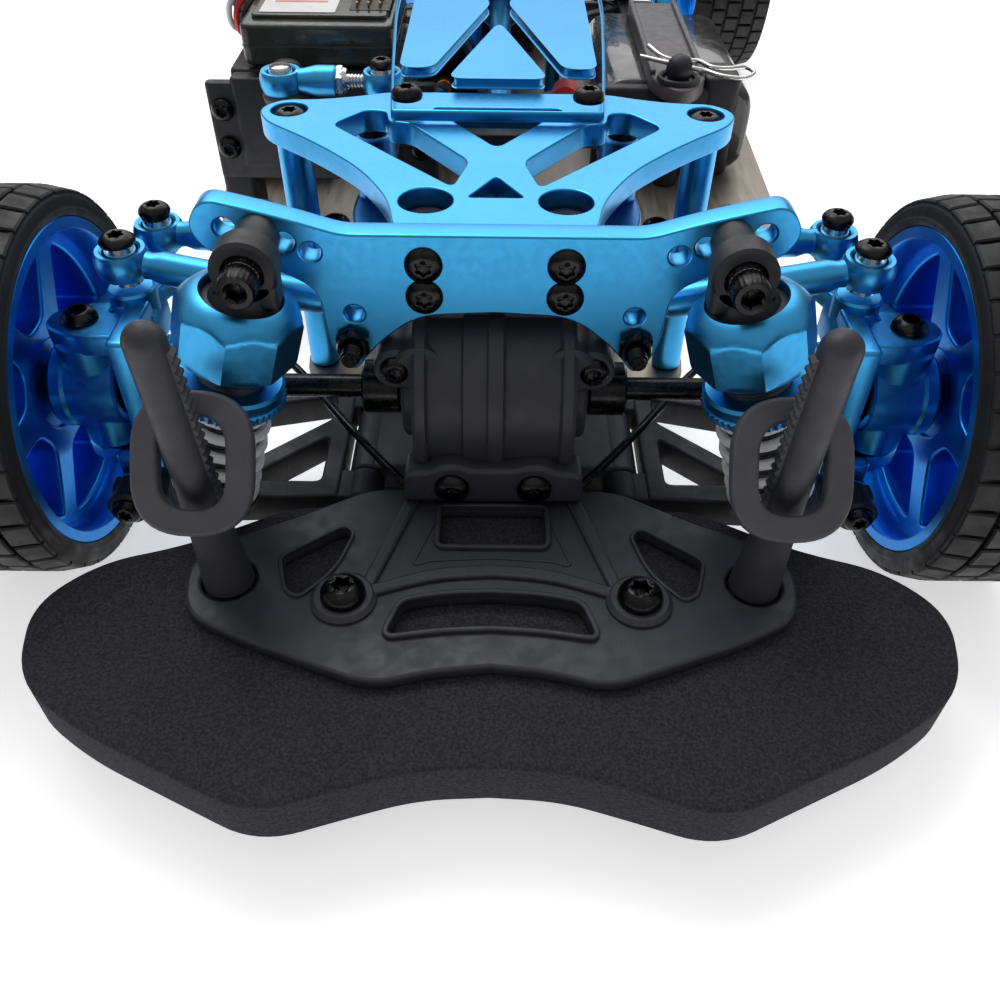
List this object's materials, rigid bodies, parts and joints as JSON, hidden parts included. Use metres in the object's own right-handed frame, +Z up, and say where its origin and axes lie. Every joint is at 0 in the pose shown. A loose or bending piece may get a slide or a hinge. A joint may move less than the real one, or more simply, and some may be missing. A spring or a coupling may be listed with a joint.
{
  "type": "rc drift car",
  "caption": "Four-wheel-drive radio-controlled drift car chassis without its body shell, with sprung arms, steering and shaft drive.",
  "frame": {"origin": "on the ground under the middle of the car's bounding box", "axes": "+Z up, -Y is the way the car faces, +X is the car's left side"},
  "size_m": [0.19, 0.3598, 0.0695],
  "materials": {
    "blue_aluminium": "satin cyan-blue anodised",
    "wheel_blue": "satin deep-blue anodised",
    "chassis_aluminium": "matt grey-brown anodised",
    "steel": "polished",
    "black_plastic": "fine textured nylon",
    "rubber": "matt moulded",
    "tyre_rubber": "matt with block tread",
    "foam": "closed-cell foam, speckled",
    "battery_wrap": "heat-shrunk film",
    "smoked_plastic": "smoked translucent case"
  },
  "bodies": {
    "root": {"chassis_plate": "chassis_aluminium", "bumper_foam": "foam", "bumper_plate": "black_plastic", "front_gearbox": "black_plastic", "rear_gearbox": "black_plastic", "front_shock_tower": "blue_aluminium", "rear_shock_tower": "blue_aluminium", "front_brace": "blue_aluminium", "upper_deck": "blue_aluminium", "body_post_left": "black_plastic", "post_ring_left": "rubber", "body_post_right": "black_plastic", "post_ring_right": "rubber", "steering_servo": "black_plastic", "receiver": "smoked_plastic", "battery_pack": "battery_wrap", "speed_controller": "black_plastic", "motor": "steel"},
    "center_shaft": {"center_shaft": "blue_aluminium"},
    "motor_pinion": {"motor_pinion": "steel"},
    "servo_horn": {"servo_horn": "blue_aluminium"},
    "servo_link": {"servo_link": "blue_aluminium"},
    "bellcrank_left": {"bellcrank_left": "blue_aluminium"},
    "bellcrank_right": {"bellcrank_right": "blue_aluminium"},
    "lower_arm_front_left": {"lower_arm_front_left": "black_plastic"},
    "shock_body_front_left": {"shock_body_front_left": "blue_aluminium"},
    "shock_rod_front_left": {"shock_rod_front_left": "steel"},
    "upper_link_front_left": {"upper_link_front_left": "blue_aluminium"},
    "drive_shaft_front_left": {"drive_shaft_front_left": "steel"},
    "wheel_front_left": {"wheel_rim_front_left": "wheel_blue", "tyre_front_left": "tyre_rubber"},
    "caster_block_left": {"caster_block_left": "blue_aluminium"},
    "steering_knuckle_left": {"steering_knuckle_left": "blue_aluminium"},
    "tie_rod_left": {"tie_rod_left": "blue_aluminium"},
    "lower_arm_front_right": {"lower_arm_front_right": "black_plastic"},
    "shock_body_front_right": {"shock_body_front_right": "blue_aluminium"},
    "shock_rod_front_right": {"shock_rod_front_right": "steel"},
    "upper_link_front_right": {"upper_link_front_right": "blue_aluminium"},
    "drive_shaft_front_right": {"drive_shaft_front_right": "steel"},
    "wheel_front_right": {"wheel_rim_front_right": "wheel_blue", "tyre_front_right": "tyre_rubber"},
    "caster_block_right": {"caster_block_right": "blue_aluminium"},
    "steering_knuckle_right": {"steering_knuckle_right": "blue_aluminium"},
    "tie_rod_right": {"tie_rod_right": "blue_aluminium"},
    "lower_arm_rear_left": {"lower_arm_rear_left": "black_plastic"},
    "shock_body_rear_left": {"shock_body_rear_left": "blue_aluminium"},
    "shock_rod_rear_left": {"shock_rod_rear_left": "steel"},
    "upper_link_rear_left": {"upper_link_rear_left": "blue_aluminium"},
    "drive_shaft_rear_left": {"drive_shaft_rear_left": "steel"},
    "wheel_rear_left": {"wheel_rim_rear_left": "wheel_blue", "tyre_rear_left": "tyre_rubber"},
    "rear_hub_left": {"rear_hub_left": "blue_aluminium"},
    "lower_arm_rear_right": {"lower_arm_rear_right": "black_plastic"},
    "shock_body_rear_right": {"shock_body_rear_right": "blue_aluminium"},
    "shock_rod_rear_right": {"shock_rod_rear_right": "steel"},
    "upper_link_rear_right": {"upper_link_rear_right": "blue_aluminium"},
    "drive_shaft_rear_right": {"drive_shaft_rear_right": "steel"},
    "wheel_rear_right": {"wheel_rim_rear_right": "wheel_blue", "tyre_rear_right": "tyre_rubber"},
    "rear_hub_right": {"rear_hub_right": "blue_aluminium"}
  },
  "joints": [
    {"name": "driveline", "type": "hinge", "parent": "root", "child": "center_shaft", "pos_m": [0, 0, 0.035], "axis": [0, 1, 0], "continuous": true},
    {"name": "pinion_spin", "type": "hinge", "parent": "root", "child": "motor_pinion", "pos_m": [-0.024, 0.0975, 0.02875], "axis": [0, 1, 0], "continuous": true},
    {"name": "steering", "type": "hinge", "parent": "root", "child": "servo_horn", "pos_m": [-0.046, -0.0295, 0.043], "axis": [0, 1, 0], "range_deg": [-21, 21]},
    {"name": "servo_link_slide", "type": "slide", "parent": "root", "child": "servo_link", "axis": [1, 0, 0], "range_m": [-0.0052, 0.0052]},
    {"name": "bellcrank_left_turn", "type": "hinge", "parent": "root", "child": "bellcrank_left", "pos_m": [0.0245, -0.0585, 0.03], "axis": [0, 0, 1], "range_deg": [-13.5, 13.5]},
    {"name": "bellcrank_right_turn", "type": "hinge", "parent": "root", "child": "bellcrank_right", "pos_m": [-0.0245, -0.0585, 0.03], "axis": [0, 0, 1], "range_deg": [-13.5, 13.5]},
    {"name": "suspension_front_left", "type": "hinge", "parent": "root", "child": "lower_arm_front_left", "pos_m": [0.023, -0.1065, 0.015], "axis": [0, -1, 0], "range_deg": [-4, 7], "stiffness_Nm_per_rad": 3, "springref_deg": -4.01},
    {"name": "shock_body_front_left_tilt", "type": "hinge", "parent": "root", "child": "shock_body_front_left", "pos_m": [0.034, -0.126, 0.0643], "axis": [0, -1, 0], "range_deg": [-1.2, 1.4]},
    {"name": "shock_rod_front_left_slide", "type": "slide", "parent": "shock_body_front_left", "child": "shock_rod_front_left", "axis": [0.2911, 0, -0.9567], "range_m": [-0.0036, 0.0023]},
    {"name": "upper_link_front_left_tilt", "type": "hinge", "parent": "root", "child": "upper_link_front_left", "pos_m": [0.022, -0.1079, 0.047], "axis": [0, -1, 0], "range_deg": [-5, 8]},
    {"name": "caster_block_left_tilt", "type": "hinge", "parent": "lower_arm_front_left", "child": "caster_block_left", "pos_m": [0.064, -0.1105, 0.015], "axis": [0, -1, 0], "range_deg": [-7.5, 4.5]},
    {"name": "steering_knuckle_left_turn", "type": "hinge", "parent": "caster_block_left", "child": "steering_knuckle_left", "pos_m": [0.0675, -0.1105, 0.0325], "axis": [0, 0, 1], "range_deg": [-17, 17]},
    {"name": "tie_rod_left_slide", "type": "slide", "parent": "upper_link_front_left", "child": "tie_rod_left", "axis": [0.9818, 0.19, 0], "range_m": [-0.0075, 0.0075]},
    {"name": "wheel_spin_front_left", "type": "hinge", "parent": "steering_knuckle_left", "child": "wheel_front_left", "pos_m": [0.082, -0.1105, 0.0325], "axis": [1, 0, 0], "continuous": true},
    {"name": "drive_shaft_front_left_spin", "type": "hinge", "parent": "lower_arm_front_left", "child": "drive_shaft_front_left", "pos_m": [0.04, -0.1105, 0.0325], "axis": [1, 0, 0], "continuous": true},
    {"name": "suspension_front_right", "type": "hinge", "parent": "root", "child": "lower_arm_front_right", "pos_m": [-0.023, -0.1065, 0.015], "axis": [0, 1, 0], "range_deg": [-4, 7], "stiffness_Nm_per_rad": 3, "springref_deg": -4.01},
    {"name": "shock_body_front_right_tilt", "type": "hinge", "parent": "root", "child": "shock_body_front_right", "pos_m": [-0.034, -0.126, 0.0643], "axis": [0, 1, 0], "range_deg": [-1.2, 1.4]},
    {"name": "shock_rod_front_right_slide", "type": "slide", "parent": "shock_body_front_right", "child": "shock_rod_front_right", "axis": [-0.2911, 0, -0.9567], "range_m": [-0.0036, 0.0023]},
    {"name": "upper_link_front_right_tilt", "type": "hinge", "parent": "root", "child": "upper_link_front_right", "pos_m": [-0.022, -0.1079, 0.047], "axis": [0, 1, 0], "range_deg": [-5, 8]},
    {"name": "caster_block_right_tilt", "type": "hinge", "parent": "lower_arm_front_right", "child": "caster_block_right", "pos_m": [-0.064, -0.1105, 0.015], "axis": [0, 1, 0], "range_deg": [-7.5, 4.5]},
    {"name": "steering_knuckle_right_turn", "type": "hinge", "parent": "caster_block_right", "child": "steering_knuckle_right", "pos_m": [-0.0675, -0.1105, 0.0325], "axis": [0, 0, 1], "range_deg": [-17, 17]},
    {"name": "tie_rod_right_slide", "type": "slide", "parent": "upper_link_front_right", "child": "tie_rod_right", "axis": [0.9818, -0.19, 0], "range_m": [-0.0075, 0.0075]},
    {"name": "wheel_spin_front_right", "type": "hinge", "parent": "steering_knuckle_right", "child": "wheel_front_right", "pos_m": [-0.082, -0.1105, 0.0325], "axis": [1, 0, 0], "continuous": true},
    {"name": "drive_shaft_front_right_spin", "type": "hinge", "parent": "lower_arm_front_right", "child": "drive_shaft_front_right", "pos_m": [-0.04, -0.1105, 0.0325], "axis": [1, 0, 0], "continuous": true},
    {"name": "suspension_rear_left", "type": "hinge", "parent": "root", "child": "lower_arm_rear_left", "pos_m": [0.023, 0.1435, 0.015], "axis": [0, -1, 0], "range_deg": [-4, 7], "stiffness_Nm_per_rad": 3, "springref_deg": -4.01},
    {"name": "shock_body_rear_left_tilt", "type": "hinge", "parent": "root", "child": "shock_body_rear_left", "pos_m": [0.034, 0.163, 0.0643], "axis": [0, -1, 0], "range_deg": [-1.2, 1.4]},
    {"name": "shock_rod_rear_left_slide", "type": "slide", "parent": "shock_body_rear_left", "child": "shock_rod_rear_left", "axis": [0.2911, 0, -0.9567], "range_m": [-0.0036, 0.0023]},
    {"name": "upper_link_rear_left_tilt", "type": "hinge", "parent": "root", "child": "upper_link_rear_left", "pos_m": [0.022, 0.1449, 0.047], "axis": [0, -1, 0], "range_deg": [-5, 8]},
    {"name": "rear_hub_left_tilt", "type": "hinge", "parent": "lower_arm_rear_left", "child": "rear_hub_left", "pos_m": [0.064, 0.1475, 0.015], "axis": [0, -1, 0], "range_deg": [-7.5, 4.5]},
    {"name": "wheel_spin_rear_left", "type": "hinge", "parent": "rear_hub_left", "child": "wheel_rear_left", "pos_m": [0.082, 0.1475, 0.0325], "axis": [1, 0, 0], "continuous": true},
    {"name": "drive_shaft_rear_left_spin", "type": "hinge", "parent": "lower_arm_rear_left", "child": "drive_shaft_rear_left", "pos_m": [0.04, 0.1475, 0.0325], "axis": [1, 0, 0], "continuous": true},
    {"name": "suspension_rear_right", "type": "hinge", "parent": "root", "child": "lower_arm_rear_right", "pos_m": [-0.023, 0.1435, 0.015], "axis": [0, 1, 0], "range_deg": [-4, 7], "stiffness_Nm_per_rad": 3, "springref_deg": -4.01},
    {"name": "shock_body_rear_right_tilt", "type": "hinge", "parent": "root", "child": "shock_body_rear_right", "pos_m": [-0.034, 0.163, 0.0643], "axis": [0, 1, 0], "range_deg": [-1.2, 1.4]},
    {"name": "shock_rod_rear_right_slide", "type": "slide", "parent": "shock_body_rear_right", "child": "shock_rod_rear_right", "axis": [-0.2911, 0, -0.9567], "range_m": [-0.0036, 0.0023]},
    {"name": "upper_link_rear_right_tilt", "type": "hinge", "parent": "root", "child": "upper_link_rear_right", "pos_m": [-0.022, 0.1449, 0.047], "axis": [0, 1, 0], "range_deg": [-5, 8]},
    {"name": "rear_hub_right_tilt", "type": "hinge", "parent": "lower_arm_rear_right", "child": "rear_hub_right", "pos_m": [-0.064, 0.1475, 0.015], "axis": [0, 1, 0], "range_deg": [-7.5, 4.5]},
    {"name": "wheel_spin_rear_right", "type": "hinge", "parent": "rear_hub_right", "child": "wheel_rear_right", "pos_m": [-0.082, 0.1475, 0.0325], "axis": [1, 0, 0], "continuous": true},
    {"name": "drive_shaft_rear_right_spin", "type": "hinge", "parent": "lower_arm_rear_right", "child": "drive_shaft_rear_right", "pos_m": [-0.04, 0.1475, 0.0325], "axis": [1, 0, 0], "continuous": true}
  ],
  "couplings": [
    {"joint": "pinion_spin", "follows": "driveline", "ratio": -2.2973},
    {"joint": "servo_link_slide", "follows": "steering", "m_per_rad": 0.0135},
    {"joint": "bellcrank_left_turn", "follows": "steering", "ratio": -0.60268},
    {"joint": "bellcrank_right_turn", "follows": "steering", "ratio": -0.60268},
    {"joint": "shock_body_front_left_tilt", "follows": "suspension_front_left", "ratio": 0.135},
    {"joint": "shock_rod_front_left_slide", "follows": "suspension_front_left", "m_per_rad": -0.025},
    {"joint": "upper_link_front_left_tilt", "follows": "suspension_front_left", "ratio": 1.047},
    {"joint": "caster_block_left_tilt", "follows": "suspension_front_left", "ratio": -1},
    {"joint": "steering_knuckle_left_turn", "follows": "steering", "ratio": 0.75037},
    {"joint": "tie_rod_left_slide", "follows": "steering", "m_per_rad": -0.018802},
    {"joint": "wheel_spin_front_left", "follows": "driveline", "ratio": 0.3846},
    {"joint": "drive_shaft_front_left_spin", "follows": "driveline", "ratio": 0.3846},
    {"joint": "shock_body_front_right_tilt", "follows": "suspension_front_right", "ratio": 0.135},
    {"joint": "shock_rod_front_right_slide", "follows": "suspension_front_right", "m_per_rad": -0.025},
    {"joint": "upper_link_front_right_tilt", "follows": "suspension_front_right", "ratio": 1.047},
    {"joint": "caster_block_right_tilt", "follows": "suspension_front_right", "ratio": -1},
    {"joint": "steering_knuckle_right_turn", "follows": "steering", "ratio": 0.75037},
    {"joint": "tie_rod_right_slide", "follows": "steering", "m_per_rad": -0.018802},
    {"joint": "wheel_spin_front_right", "follows": "driveline", "ratio": 0.3846},
    {"joint": "drive_shaft_front_right_spin", "follows": "driveline", "ratio": 0.3846},
    {"joint": "shock_body_rear_left_tilt", "follows": "suspension_rear_left", "ratio": 0.135},
    {"joint": "shock_rod_rear_left_slide", "follows": "suspension_rear_left", "m_per_rad": -0.025},
    {"joint": "upper_link_rear_left_tilt", "follows": "suspension_rear_left", "ratio": 1.047},
    {"joint": "rear_hub_left_tilt", "follows": "suspension_rear_left", "ratio": -1},
    {"joint": "wheel_spin_rear_left", "follows": "driveline", "ratio": 0.3846},
    {"joint": "drive_shaft_rear_left_spin", "follows": "driveline", "ratio": 0.3846},
    {"joint": "shock_body_rear_right_tilt", "follows": "suspension_rear_right", "ratio": 0.135},
    {"joint": "shock_rod_rear_right_slide", "follows": "suspension_rear_right", "m_per_rad": -0.025},
    {"joint": "upper_link_rear_right_tilt", "follows": "suspension_rear_right", "ratio": 1.047},
    {"joint": "rear_hub_right_tilt", "follows": "suspension_rear_right", "ratio": -1},
    {"joint": "wheel_spin_rear_right", "follows": "driveline", "ratio": 0.3846},
    {"joint": "drive_shaft_rear_right_spin", "follows": "driveline", "ratio": 0.3846}
  ]
}
